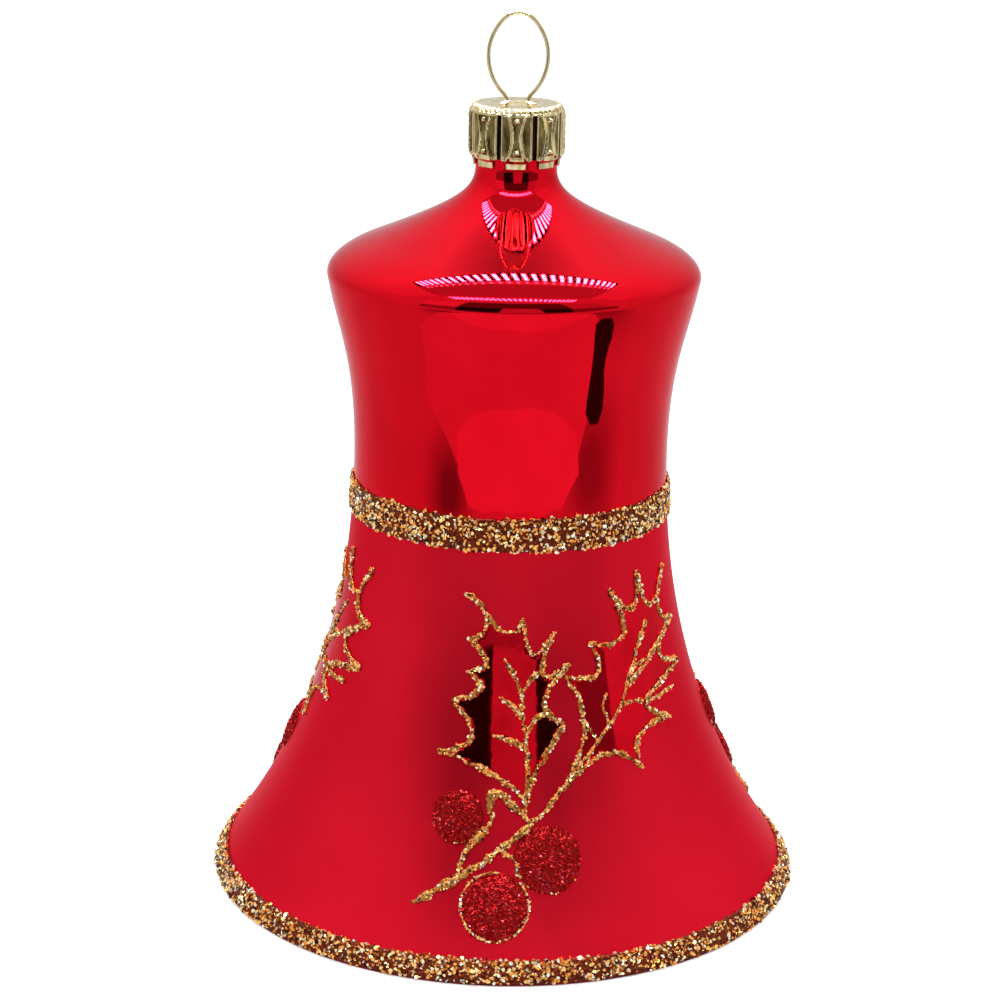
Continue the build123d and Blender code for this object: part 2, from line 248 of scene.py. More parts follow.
def grid_faces(rows, columns, wrap=False):
    """Quads over a grid of points; wrap joins the last column to the first."""
    across = columns if wrap else columns - 1
    faces = []
    for i in range(rows - 1):
        for j in range(across):
            k = (j + 1) % columns
            faces.append((i * columns + j, i * columns + k, (i + 1) * columns + k, (i + 1) * columns + j))
    return faces


def join_faces(rows, columns):
    """Quads that join the last row of a wrapped grid to its first."""
    last = (rows - 1) * columns
    return [(last + j, last + (j + 1) % columns, (j + 1) % columns, j) for j in range(columns)]


def end_faces(rows, columns):
    """The two faces that close the ends of a wrapped grid."""
    last = (rows - 1) * columns
    return [tuple(range(columns))[::-1], tuple(last + j for j in range(columns))]


def revolve(build, profile, segments, row_slots=None):
    """Turns a profile of (radius, height) in mm round the Z axis.

    With row_slots, a material index for each row of faces, the profile is a closed one, whose last
    row joins the first. Without, it is open and its two ends are capped.
    """
    turn = np.linspace(0, 2 * pi, segments, endpoint=False)
    profile = np.asarray(profile, float)
    r, z = profile[:, 0:1], profile[:, 1:2]
    points = np.stack([r * np.cos(turn), r * np.sin(turn), z + 0 * turn], -1) * MM
    faces = grid_faces(len(profile), segments, wrap=True)
    if row_slots:
        faces += join_faces(len(profile), segments)
        build.add(points, faces, [row_slots[i // segments] for i in range(len(faces))])
    else:
        build.add(points, faces + end_faces(len(profile), segments))


def tube(build, path, radius, sides=14, closed=False):
    """A round wire along a path of points in mm, with domed ends unless it is closed."""
    path = [Vector(p) for p in path]
    n = len(path)
    rows = []
    side = None
    for i, p in enumerate(path):
        before = path[i - 1] if (i or closed) else p
        after = path[(i + 1) % n] if (i < n - 1 or closed) else p
        along = (after - before).normalized()
        if side is None:
            side = along.orthogonal().normalized()
        side = (side - along * side.dot(along)).normalized()
        rows.append((p, along, side, along.cross(side)))
    turn = np.linspace(0, 2 * pi, sides, endpoint=False)

    def ring(row, ahead=0):
        """The ring of points at a row of the path, or some degrees round the dome past it."""
        p, along, side, up = row
        middle = p + along * radius * sin(radians(ahead))
        r = radius * cos(radians(ahead))
        return [middle + (side * cos(a) + up * sin(a)) * r for a in turn]

    rings = [ring(row) for row in rows]
    if not closed:
        dome = (25, 50, 80)
        rings = [ring(rows[0], -a) for a in dome[::-1]] + rings + [ring(rows[-1], a) for a in dome]
    points = np.array([[list(q) for q in r] for r in rings]) * MM
    faces = grid_faces(len(rings), sides, wrap=True)
    faces += join_faces(len(rings), sides) if closed else end_faces(len(rings), sides)
    build.add(points, faces)


def flakes(build, points, normals, size, thick, tilt, slot, sides=6):
    """Thin plates at points in metres, each turned at random about its normal and tilted."""
    n = len(points)
    lean = rng.normal(0, tilt, (n, 3))
    normal = normals + lean
    normal /= np.linalg.norm(normal, axis=1)[:, None]
    seed = rng.normal(size=(n, 3))
    a = np.cross(normal, seed)
    a /= np.linalg.norm(a, axis=1)[:, None]
    b = np.cross(normal, a)
    r = rng.uniform(*size, n) * MM
    half = rng.uniform(*thick, n) * MM / 2
    squash = rng.uniform(0.7, 1.0, n)
    rows = []
    for sign in (-1, 1):
        for k in range(sides):
            t = 2 * pi * k / sides
            edge = a * (r * cos(t))[:, None] + b * (r * squash * sin(t))[:, None]
            rows.append(points + edge + normal * (sign * half)[:, None])
    verts = np.stack(rows, 1).reshape(-1, 3)
    low = list(range(sides))
    high = list(range(sides, 2 * sides))
    around = [[k, (k + 1) % sides, sides + (k + 1) % sides, sides + k] for k in range(sides)]
    shape = [low[::-1], high, *around]
    faces = []
    for i in range(n):
        base = i * 2 * sides
        faces += [[base + v for v in f] for f in shape]
    build.add(verts, faces, slot, smooth=False)


def wobble(count, waves, size):
    """A closed run of smooth unevenness, made of a few sine waves."""
    turn = np.linspace(0, 2 * pi, count, endpoint=False)
    total = np.zeros(count)
    for w in waves:
        total += rng.normal(0, 1) * np.sin(w * turn + rng.uniform(0, 2 * pi))
    return size * total / sqrt(len(waves))


# ---- material helpers ----
def map_range(tree, value, low, high, start=0.0, end=1.0):
    """A node's output that runs from low to high while a value runs from start to end."""
    fit = tree.nodes.new("ShaderNodeMapRange")
    for name, number in (("From Min", start), ("From Max", end), ("To Min", low), ("To Max", high)):
        fit.inputs[name].default_value = number
    tree.links.new(value, fit.inputs["Value"])
    return fit.outputs[0]


class Shader:
    """A node material with short calls for the nodes used here."""

    def __init__(self, name):
        self.material = bpy.data.materials.new(name)
        self.material.use_nodes = True
        self.nodes = self.material.node_tree.nodes
        self.links = self.material.node_tree.links
        self.nodes.clear()
        self.out = self.nodes.new("ShaderNodeOutputMaterial")
        self.bsdf = self.nodes.new("ShaderNodeBsdfPrincipled")
        self.links.new(self.bsdf.outputs[0], self.out.inputs[0])
        self.coords = self.nodes.new("ShaderNodeTexCoord").outputs["Object"]

    def set(self, **values):
        """Sets the shader's sockets, named with _ for a space, to values or to other nodes' outputs."""
        for name, value in values.items():
            socket = self.bsdf.inputs[name.replace("_", " ")]
            if hasattr(value, "is_linked"):
                self.links.new(value, socket)
            else:
                socket.default_value = value
        return self

    def noise(self, scale, detail=2.0, rough=0.5, stretch=(1, 1, 1), distortion=0.0):
        n = self.nodes.new("ShaderNodeTexNoise")
        n.inputs["Scale"].default_value = scale
        n.inputs["Detail"].default_value = detail
        n.inputs["Roughness"].default_value = rough
        n.inputs["Distortion"].default_value = distortion
        m = self.nodes.new("ShaderNodeMapping")
        m.inputs["Scale"].default_value = stretch
        self.links.new(self.coords, m.inputs["Vector"])
        self.links.new(m.outputs[0], n.inputs["Vector"])
        return n.outputs["Fac"]

    def cells(self, scale):
        v = self.nodes.new("ShaderNodeTexVoronoi")
        v.inputs["Scale"].default_value = scale
        self.links.new(self.coords, v.inputs["Vector"])
        return v.outputs["Distance"]

    def island(self):
        """A random value for each loose flake."""
        return self.nodes.new("ShaderNodeNewGeometry").outputs["Random Per Island"]

    def ramp(self, fac, *stops):
        """Colours along a value, each stop a (place, colour)."""
        r = self.nodes.new("ShaderNodeValToRGB")
        band = r.color_ramp.elements
        while len(band) < len(stops):
            band.new(0.5)
        for element, (place, colour) in zip(band, stops):
            element.position = place
            element.color = (*colour, 1)
        self.links.new(fac, r.inputs[0])
        return r.outputs[0]

    def span(self, *values):
        return map_range(self.material.node_tree, *values)

    def finish(self, mottle, dark, light, grain, smooth, rough, metallic=1.0):
        """A colour that wanders between two, and a roughness that does; mottle and grain are noises."""
        colour = self.ramp(self.noise(*mottle), (0.3, dark), (0.7, light))
        roughness = self.span(self.noise(*grain), smooth, rough)
        return self.set(Base_Color=colour, Metallic=metallic, Roughness=roughness)

    def bump(self, *layers):
        """Bumps one on another, each a (height, distance in mm, strength)."""
        last = None
        for height, distance, strength in layers:
            b = self.nodes.new("ShaderNodeBump")
            b.inputs["Distance"].default_value = distance * MM
            b.inputs["Strength"].default_value = strength
            self.links.new(height, b.inputs["Height"])
            if last:
                self.links.new(last, b.inputs["Normal"])
            last = b.outputs[0]
        self.links.new(last, self.bsdf.inputs["Normal"])
        return self


def gloss_red():
    s = Shader("gloss_red_lacquer")
    s.finish((90, 3), (0.74, 0.0015, 0.010), (0.82, 0.0022, 0.014), (700, 3), 0.015, 0.045)
    s.set(Specular_Tint=(1.0, 0.60, 0.64, 1), Coat_Weight=0.04, Coat_Roughness=0.02)
    return s.bump((s.noise(60, 1), 0.04, 0.3), (s.noise(2600, 2), 0.002, 0.2)).material


def matte_red():
    s = Shader("matte_red_lacquer")
    s.finish((60, 3), (0.71, 0.0080, 0.024), (0.79, 0.0100, 0.029), (240, 4), 0.36, 0.43)
    s.set(Specular_Tint=(1.0, 0.50, 0.55, 1))
    grain = s.noise(5200, 3, 0.7)
    return s.bump((s.noise(60, 1), 0.04, 0.3), (grain, 0.010, 0.3)).material


def lip_red():
    s = Shader("bare_lip_red")
    s.finish((400, 3), (0.05, 0.001, 0.002), (0.16, 0.002, 0.005), (900, 2), 0.35, 0.5, metallic=0.0)
    s.set(Specular_IOR_Level=0.12)
    return s.bump((s.noise(500, 2), 0.02, 0.4)).material


def neck_painted_shade():
    # Near-black glass on the neck under the cap: painted shade for the dark slots between the cap's panels.
    s = Shader("covered_neck_painted_shade")
    s.finish((300, 3), (0.008, 0.003, 0.002), (0.035, 0.010, 0.006), (700, 2), 0.35, 0.55, metallic=0.0)
    s.set(Specular_IOR_Level=0.2)
    return s.bump((s.noise(500, 2), 0.02, 0.4)).material


def inner_silver():
    s = Shader("silvered_inside")
    cloud = s.noise(110, 5, 0.6, distortion=0.6)
    colour = s.ramp(cloud, (0.3, (0.34, 0.31, 0.29)), (0.55, (0.62, 0.61, 0.60)), (0.8, (0.74, 0.73, 0.72)))
    s.set(Base_Color=colour, Metallic=1.0, Roughness=s.span(cloud, 0.42, 0.24, 0.3, 0.75))
    return s.bump((s.noise(900, 3), 0.02, 0.4)).material


def glue(name, dark, light):
    s = Shader(name)
    colour = s.ramp(s.cells(2600), (0.1, dark), (0.6, light))
    s.set(Base_Color=colour, Metallic=0.8, Roughness=s.span(s.noise(2500, 2), 0.3, 0.6))
    return s.bump((s.cells(2600), 0.08, 0.9)).material


def gold_flake_painted_shade_and_glint():
    s = Shader("gold_flake_painted_shade_and_glint")
    # Each flake gets a colour from near-black to near-white at random: painted shade and painted glints for
    # flakes facing away from or into the light, over the gold's own hue.
    colour = s.ramp(
        s.island(),
        (0.00, (0.035, 0.0015, 0.0005)), (0.15, (0.14, 0.012, 0.001)), (0.24, (0.78, 0.27, 0.03)),
        (0.55, (1.0, 0.50, 0.10)), (0.74, (1.0, 0.74, 0.30)), (0.87, (1.0, 0.93, 0.62)),
        (0.985, (0.95, 1.0, 0.85)),
    )
    s.set(Base_Color=colour, Metallic=0.55, Roughness=s.span(s.island(), 0.24, 0.08))
    return s.bump((s.noise(9000, 2), 0.01, 0.3)).material


def red_grain():
    s = Shader("red_berry_grain")
    colour = s.ramp(
        s.island(),
        (0.00, (0.23, 0.0010, 0.0018)), (0.35, (0.33, 0.0022, 0.0040)), (0.85, (0.42, 0.0045, 0.0070)),
        (0.98, (0.70, 0.07, 0.09)),
    )
    s.set(Base_Color=colour, Metallic=0.8, Roughness=s.span(s.island(), 0.5, 0.25))
    s.set(Specular_Tint=(1.0, 0.5, 0.5, 1))
    return s.bump((s.noise(9000, 2), 0.01, 0.3)).material


def leaf_lacquer():
    s = Shader("leaf_lacquer")
    s.finish((260, 3), (0.62, 0.002, 0.010), (0.82, 0.0035, 0.018), (800, 3), 0.03, 0.09)
    s.set(Specular_Tint=(1.0, 0.60, 0.64, 1), Coat_Weight=0.04, Coat_Roughness=0.02)
    return s.bump((s.noise(420, 2), 0.05, 0.35), (s.noise(160, 1), 0.1, 0.3)).material


def gold_sheet(name, low, high, sheen=(0.10, 0.22)):
    s = Shader(name)
    colour = s.ramp(s.noise(1500, 4, stretch=(1, 1, 0.35)), (0.35, low), (0.65, high))
    s.set(Base_Color=colour, Metallic=1.0, Roughness=s.span(s.noise(1200, 3, stretch=(1, 1, 0.2)), *sheen))
    dents = s.noise(700, 2, stretch=(1, 1, 0.4))
    return s.bump((dents, 0.05, 0.5), (s.noise(2200, 3), 0.012, 0.5)).material


def gold_wire():
    s = Shader("gold_spring_wire")
    s.finish((700, 3), (0.70, 0.56, 0.30), (0.88, 0.76, 0.48), (1500, 3), 0.03, 0.10)
    return s.bump((s.noise(3500, 2), 0.006, 0.3)).material


def gold_bead():
    s = Shader("gold_silvered_bead")
    s.finish((300, 3), (0.70, 0.47, 0.16), (0.90, 0.68, 0.32), (900, 3), 0.05, 0.13)
    s.set(Coat_Weight=1.0, Coat_Roughness=0.02)
    return s.bump((s.noise(240, 1), 0.05, 0.35)).material


def floor_white():
    s = Shader("pale_floor")
    colour = s.ramp(s.noise(4, 3), (0.3, (0.93, 0.93, 0.93)), (0.7, (0.96, 0.96, 0.96)))
    s.set(Emission_Color=(1, 1, 1, 1), Emission_Strength=0.45)
    return s.set(Base_Color=colour, Roughness=0.9, Specular_IOR_Level=0.1).material


def glow(name, strength, soft=False):
    """A card's even light, a little cloudy; a soft one fades out towards its edge."""
    s = Shader(name)
    colour = s.ramp(s.noise(18, 2), (0.3, (0.92, 0.92, 0.92)), (0.7, (1, 1, 1)))
    s.set(Base_Color=(0, 0, 0, 1), Specular_IOR_Level=0.0)
    s.set(Emission_Color=colour, Emission_Strength=strength)
    if soft:
        box = s.nodes.new("ShaderNodeTexCoord").outputs["Generated"]
        away = s.nodes.new("ShaderNodeVectorMath")
        away.operation = "DISTANCE"
        away.inputs[1].default_value = (0.5, 0.5, 0.5)
        s.links.new(box, away.inputs[0])
        clear = s.nodes.new("ShaderNodeBsdfTransparent")
        mix = s.nodes.new("ShaderNodeMixShader")
        s.links.new(s.span(away.outputs["Value"], 1.0, 0.0, 0.12, 0.5), mix.inputs[0])
        s.links.new(clear.outputs[0], mix.inputs[1])
        s.links.new(s.bsdf.outputs[0], mix.inputs[2])
        s.links.new(mix.outputs[0], s.out.inputs[0])
    return s.material


MAT = {
    "gloss": gloss_red(),
    "matte": matte_red(),
    "lip": lip_red(),
    "silver": inner_silver(),
    "gold_glue": glue("gold_glue", (0.030, 0.001, 0.0005), (0.17, 0.020, 0.003)),
    "line_glue": glue("line_glue", (0.06, 0.012, 0.002), (0.50, 0.20, 0.045)),
    "red_glue": glue("red_glue", (0.17, 0.0010, 0.0018), (0.38, 0.004, 0.006)),
    "gold_flake_painted_shade_and_glint": gold_flake_painted_shade_and_glint(),
    "red_grain": red_grain(),
    "leaf": leaf_lacquer(),
    "neck": neck_painted_shade(),
    "sheet": gold_sheet("champagne_gold_sheet", (0.58, 0.45, 0.19), (0.94, 0.81, 0.48)),
    # Darker gold for the hollows of the stamped panels: painted shade.
    "recess": gold_sheet("shaded_gold_recess", (0.07, 0.048, 0.015), (0.34, 0.26, 0.10), (0.25, 0.4)),
    "wire": gold_wire(),
    "bead": gold_bead(),
    "floor": floor_white(),
}


# ---- the glass ----
GLOSS, MATTE, LIP, SILVER, NECK = range(5)


def offset_profile(distance):
    """The bell's outline moved outward by a distance, from rim to neck."""
    rows = []
    for corners, count in zip(bell_outline(), (90, 26, 26, 44)):
        for k in range(count):
            r, z, nr, nz = cubic(corners, k / count)
            rows.append((r + distance * nr, z + distance * nz))
    return rows


def bend(a, b, c, steps=6):
    """A quarter-like turn from a to c that heads for the corner b."""
    rows = []
    for k in range(steps + 1):
        t = k / steps
        rows.append(tuple((1 - t) ** 2 * a[i] + 2 * (1 - t) * t * b[i] + t * t * c[i] for i in (0, 1)))
    return rows


def outer_slot(z):
    """The material index of the outside of the glass at a height."""
    # Above the cap's foot, the neck takes the near-black painted shade.
    if z > COVERED_NECK_Z:
        return NECK
    if z > (UPPER_BAND[0] + UPPER_BAND[1]) / 2:
        return GLOSS
    return MATTE if z > RIM_BAND[0] + 0.3 else LIP


def glass_bell():
    """The shell of glass: outside, lip of the neck, inside and lip of the rim, as one closed profile."""
    outer = [p for p in offset_profile(0) if p[1] > 0.5]
    outer += [(NECK_R, NECK_FOOT_Z + k) for k in range(5)]
    inner = [p for p in offset_profile(-GLASS_WALL) if p[1] > 0.3]
    bore_r = NECK_R - GLASS_WALL
    inner += [(bore_r, NECK_FOOT_Z + k) for k in range(5)]
    lip_z = NECK_TOP_Z - 0.6
    neck_lip = bend((NECK_R, lip_z), (NECK_R, NECK_TOP_Z), (NECK_R - 0.3, NECK_TOP_Z))
    neck_lip += bend((NECK_R - 0.5, NECK_TOP_Z), (bore_r, NECK_TOP_Z), (bore_r, lip_z))
    rim_lip = bend(inner[0], (LIP_FLAT[0] - 0.18, 0), (LIP_FLAT[0], 0))
    rim_lip += bend((LIP_FLAT[1], 0), (RIM_R, 0), outer[0])
    profile = outer + neck_lip + inner[::-1] + rim_lip[1:-1]
    inside_from = len(outer) + len(neck_lip) // 2
    inside_to = len(outer) + len(neck_lip) + len(inner)
    slots = [outer_slot(p[1]) for p in profile[:inside_from]]
    slots += [SILVER] * (inside_to - inside_from)
    slots += [LIP] * (len(profile) - inside_to)
    build = Build()
    revolve(build, profile, 288, slots)
    mats = [MAT["gloss"], MAT["matte"], MAT["lip"], MAT["silver"], MAT["neck"]]
    return build.piece("bell_glass", mats, "bell", "red_glass", "glass_bell")


# ---- glitter bands ----
def glitter_band(name, low, high, node, per_mm2):
    """A coat with a wavering edge round the flare, set with gold flakes."""
    count = 540
    turn = np.linspace(0, 2 * pi, count, endpoint=False)
    waves = (3, 7, 13, 29, 47, 71)
    bottom = low + wobble(count, waves, 0.05)
    top = high + wobble(count, waves, 0.06)
    half = [(0, -0.02), (0, 0.6), (0.06, 0.92), (0.2, 1.0)]
    section = half + [(0.5, 1.05)] + [(1 - across, lift) for across, lift in half[::-1]]
    rows = []
    for across, lift in section:
        height = bottom + (top - bottom) * across
        rows.append(on_flare(turn, height, COAT * lift + 0 * turn)[0])
    build = Build()
    build.add(np.stack(rows), grid_faces(len(section), count, wrap=True) + join_faces(len(section), count))
    r = np.interp((low + high) / 2, FLARE[:, 1], FLARE[:, 0])
    slope = np.interp(high, FLARE[:, 1], FLARE[:, 0]) - np.interp(low, FLARE[:, 1], FLARE[:, 0])
    area = 2 * pi * r * hypot(high - low, slope)
    n = int(area * per_mm2)
    azimuth = rng.uniform(0, 2 * pi, n)
    column = (azimuth / (2 * pi) * count).astype(int) % count
    across = rng.uniform(-0.03, 1.03, n)
    height = bottom[column] + (top - bottom)[column] * across
    lift = COAT + rng.uniform(-0.04, 0.1, n) - 0.12 * (np.abs(across - 0.5) > 0.45)
    points, normals = on_flare(azimuth, height, lift)
    flakes(build, points, normals, (0.13, 0.26), (0.03, 0.07), 0.6, 1)
    return build.piece(name, [MAT["gold_glue"], MAT["gold_flake_painted_shade_and_glint"]], "bell", "gold_glitter", node)


# ---- holly sprigs ----
def scallop(start, through, end, steps=9):
    """A hollow between two spine tips: the parabola through three places."""
    a, h, c = (np.array(p, float) for p in (start, through, end))
    b = 2 * h - (a + c) / 2
    t = np.linspace(0, 1, steps)[:, None]
    return (1 - t) ** 2 * a + 2 * (1 - t) * t * b + t * t * c


def leaf_edges(outline):
    """The scallops of a leaf, each from one spine tip to the next."""
    n = len(outline)
    return [scallop(outline[k], outline[k + 1], outline[(k + 2) % n]) for k in range(0, n, 2)]


def smooth_route(route, step=0.3):
    """A Catmull-Rom line through a route's places."""
    p = [np.array(q, float) for q in route]
    p = [2 * p[0] - p[1], *p, 2 * p[-1] - p[-2]]
    rows = []
    for a, b, c, d in zip(p, p[1:], p[2:], p[3:]):
        count = max(2, int(np.linalg.norm(c - b) / step))
        for t in np.arange(count) / count:
            point = 2 * b + (c - a) * t
            point += (2 * a - 5 * b + 4 * c - d) * t**2
            point += (3 * b - a - 3 * c + d) * t**3
            rows.append(0.5 * point)
    rows.append(p[-2])
    return np.array(rows)


def resample(line, step):
    """The same line with points an even step apart."""
    gaps = np.linalg.norm(np.diff(line, axis=0), axis=1)
    run = np.concatenate([[0], np.cumsum(gaps)])
    count = max(4, int(run[-1] / step))
    at = np.linspace(0, run[-1], count + 1)
    return np.stack([np.interp(at, run, line[:, k]) for k in (0, 1)], -1)


def ridge(build, sprig, line, width):
    """A hand-drawn glue line along a route, uneven in width, set with flakes."""
    line = resample(line, LINE_STEP)
    n = len(line)
    along = np.gradient(line, axis=0)
    along /= np.linalg.norm(along, axis=1)[:, None] + 1e-9
    side = np.stack([-along[:, 1], along[:, 0]], -1)
    noise = np.convolve(rng.normal(0, 1, n + 8), np.ones(5) / 5, "same")[4:-4]
    half = width / 2 * np.clip(1 + 0.75 * noise, 0.45, 1.9)
    wander = np.convolve(rng.normal(0, 1, n + 8), np.ones(4) / 4, "same")[4:-4]
    line = line + side * (0.13 * wander)[:, None]
    taper = np.minimum(1, np.minimum(np.arange(n) + 1.2, n - np.arange(n) + 0.2) / 4)
    half = half * (0.45 + 0.55 * taper)
    tall = LINE_HEIGHT * (0.5 + 0.5 * taper) * np.clip(1 + 0.4 * noise, 0.5, 1.4)
    section = [(-1, -0.02), (-0.96, 0.3), (-0.7, 0.75), (0, 1.0), (0.7, 0.75), (0.96, 0.3), (1, -0.02)]
    rows = []
    for across, lift in section:
        rows.append(on_sheet(sprig, line + side * (half * across)[:, None], tall * lift)[0])
    points = np.stack(rows)
    faces = grid_faces(len(section), n)
    last = (len(section) - 1) * n
    faces += [(last + j, last + j + 1, j + 1, j) for j in range(n - 1)]
    faces.append(tuple(k * n for k in range(len(section))))
    faces.append(tuple(k * n + n - 1 for k in range(len(section)))[::-1])
    build.add(points, faces)
    length = n * LINE_STEP
    count = int(length * width * LINE_FLAKES)
    at = rng.uniform(0, n - 1, count)
    k = at.astype(int)
    across = rng.uniform(-1.0, 1.0, count)
    places = line[k] + side[k] * (half[k] * across)[:, None]
    lift = tall[k] * (1 - 0.75 * across**2) + rng.uniform(-0.03, 0.07, count)
    where, normals = on_sheet(sprig, places, lift)
    flakes(build, where, normals, (0.10, 0.21), (0.03, 0.07), 0.6, 1)


def linework(sprig):
    """A sprig's raised gold lines: the outlines of both leaves, their ribs, and the stems."""
    build = Build()
    for outline in (UPRIGHT_LEAF, SLANTING_LEAF):
        for edge in leaf_edges(outline):
            ridge(build, sprig, edge, EDGE_WIDTH)
    for route in RIBS:
        ridge(build, sprig, smooth_route(route), RIB_WIDTH)
    for route in STEMS:
        ridge(build, sprig, smooth_route(route), STEM_WIDTH)
    name = f"{sprig}_holly_linework"
    node = f"{sprig}_sprig_linework"
    return build.piece(name, [MAT["line_glue"], MAT["gold_flake_painted_shade_and_glint"]], "bell", "gold_glitter", node)


def inside(outline, places):
    """Which places lie inside a closed outline."""
    x, y = places[:, 0], places[:, 1]
    odd = np.zeros(len(places), bool)
    for (x0, y0), (x1, y1) in zip(outline, np.roll(outline, -1, axis=0)):
        crosses = (y0 > y) != (y1 > y)
        with np.errstate(divide="ignore", invalid="ignore"):
            at = x0 + (y - y0) * (x1 - x0) / (y1 - y0)
        odd ^= crosses & (x < at)
    return odd


def leaf_panel(sprig, piece, outline):
    """A skin of lacquer that follows the glass inside a leaf's outline."""
    edge = np.concatenate([e[:-1] for e in leaf_edges(outline)])
    low, high = edge.min(0), edge.max(0)
    gap = 0.5
    xs, ys = np.meshgrid(np.arange(low[0], high[0], gap), np.arange(low[1], high[1], gap))
    fill = np.stack([xs.ravel() + gap / 2 * (np.round(ys.ravel() / gap) % 2), ys.ravel()], -1)
    near = np.min(np.linalg.norm(fill[:, None] - edge[None], axis=2), axis=1)
    fill = fill[inside(edge, fill) & (near > gap / 2)]
    n = len(edge)
    spots = [Vector(p) for p in np.concatenate([edge, fill]).tolist()]
    border = [(k, (k + 1) % n) for k in range(n)]
    verts, _, faces, _, _, _ = delaunay_2d_cdt(spots, border, [], 1, 1e-6)
    places = np.array([list(v) for v in verts])
    m = len(places)
    top = on_sheet(sprig, places, LEAF_LIFT)[0]
    under = on_sheet(sprig, places, -SINK / 2)[0]
    sheet = [tuple(f) for f in faces]
    back = [tuple(v + m for v in f[::-1]) for f in sheet]
    edges = [(a, b) for f in sheet for a, b in zip(f, f[1:] + f[:1])]
    shared = set(edges)
    skirt = [(b, a, a + m, b + m) for a, b in edges if (b, a) not in shared]
    build = Build()
    build.add(np.concatenate([top, under]), sheet + back + skirt)
    name = f"{sprig}_holly_{piece}"
    return build.piece(name, [MAT["leaf"]], "bell", "leaf_lacquer", f"{sprig}_sprig_{piece}")


def berry(sprig, place, turn, height, radius):
    """A low dome of glue set with coarse red grains, with a few gold flakes at its foot."""
    azimuth = radians(SPRIG_AZIMUTH[sprig] + turn)
    slope = abs(np.interp(height, FLARE[:, 1], FLARE[:, 3]))
    upright = sqrt(1 - slope**2)
    rings, columns = 12, 64
    ragged = 1 + wobble(columns, (2, 3, 5, 9, 14), 0.022)

    def spot(share, angle, lift):
        """Points and normals at shares of the radius and angles round the berry's middle."""
        across = radius * share * np.cos(angle)
        up = radius * share * np.sin(angle) * upright
        r_here = np.interp(height + up, FLARE[:, 1], FLARE[:, 0])
        return on_flare(azimuth + across / r_here, height + up, lift)

    angle = np.linspace(0, 2 * pi, columns, endpoint=False)
    rows = []
    for share in np.linspace(1, 0.04, rings):
        lift = BERRY_HEIGHT * (1 - share**2) ** 0.6 + 0.03
        rows.append(spot(share * ragged, angle, lift + 0 * angle)[0])
    rows.insert(0, spot(ragged, angle, -SINK + 0 * angle)[0])
    build = Build()
    build.add(np.stack(rows), grid_faces(len(rows), columns, wrap=True) + end_faces(len(rows), columns))
    n = int(pi * radius**2 * BERRY_GRAINS)
    share = np.sqrt(rng.uniform(0, 1, n))
    angle = rng.uniform(0, 2 * pi, n)
    lift = BERRY_HEIGHT * (1 - share**2) ** 0.6 + rng.uniform(0.0, 0.12, n)
    points, normals = spot(share, angle, lift)
    flakes(build, points, normals, (0.09, 0.18), (0.05, 0.12), 0.42, 1, sides=5)
    gold, start, end = GOLD_RING[place]
    arc = rng.uniform(radians(start), radians(end), int(gold * radius))
    share = rng.normal(1.01, 0.018, len(arc))
    points, normals = spot(share, arc, 0.06 + rng.uniform(0, 0.14, len(arc)))
    flakes(build, points, normals, (0.08, 0.15), (0.03, 0.06), 0.5, 2)
    mats = [MAT["red_glue"], MAT["red_grain"], MAT["gold_flake_painted_shade_and_glint"]]
    name = f"{sprig}_holly_{place}_berry"
    return build.piece(name, mats, "bell", "berry_glitter", f"{sprig}_sprig_{place}_berry")


# ---- crown cap ----
def clamp(value):
    return min(1.0, max(0.0, value))


def cap_relief(across, z):
    """Height of the stamped pattern on a panel, mm, at a distance across it."""
    up = (z - EMBOSS_MID_Z) / EMBOSS_HALF
    fade = clamp((1.12 - abs(up)) / 0.15)
    aside = abs(across)
    rib = 0.45 + 0.46 * up * up
    height = 0.27 * exp(-(((aside - rib) / 0.115) ** 2)) * fade
    height += 0.10 * exp(-(((aside - 1.62) / 0.12) ** 2))
    height -= 0.07 * exp(-(((aside - rib - 0.4) / 0.22) ** 2)) * fade
    stud = hypot(across, (abs(up) - 0.75) * EMBOSS_HALF)
    return height + 0.30 * sqrt(max(0.0, 1 - (stud / 0.30) ** 2))


def cap_profile():
    """The cap's outside, from the middle of its top over the edge and down to the feet of its tabs."""
    rows = [(r, CAP_TOP_Z) for r in (0.02, 0.8, 1.6, 2.4, 3.2, 3.8)]
    rows += bend((4.2, CAP_TOP_Z), (4.82, CAP_TOP_Z), (CAP_R, CAP_EDGE_Z), steps=14)
    rows += [(CAP_R, CAP_EDGE_Z - k * (CAP_EDGE_Z - PANEL_FOOT_Z) / 40) for k in range(1, 41)]
    rows += bend((CAP_R, CAP_TAB_Z + 0.45), (CAP_R, CAP_TAB_Z + 0.05), (CAP_TAB_R, CAP_TAB_Z - 0.05))
    rows += [(CAP_TAB_R - 0.02 * k, CAP_TAB_Z - 0.2 - 0.15 * k) for k in range(5)]
    return rows


def cap_columns(per_panel=36, per_gap=4):
    """Each column of points round the cap: its panel's middle and its own angle from there."""
    half = HALF_PANEL - HALF_GAP
    columns = []
    for k in range(PANELS):
        middle = 2 * HALF_PANEL * k - pi / 2
        columns += [(middle, -half + j * 2 * half / (per_panel - 1)) for j in range(per_panel)]
        columns += [(middle, half + j * 2 * HALF_GAP / per_gap) for j in range(1, per_gap)]
    return columns


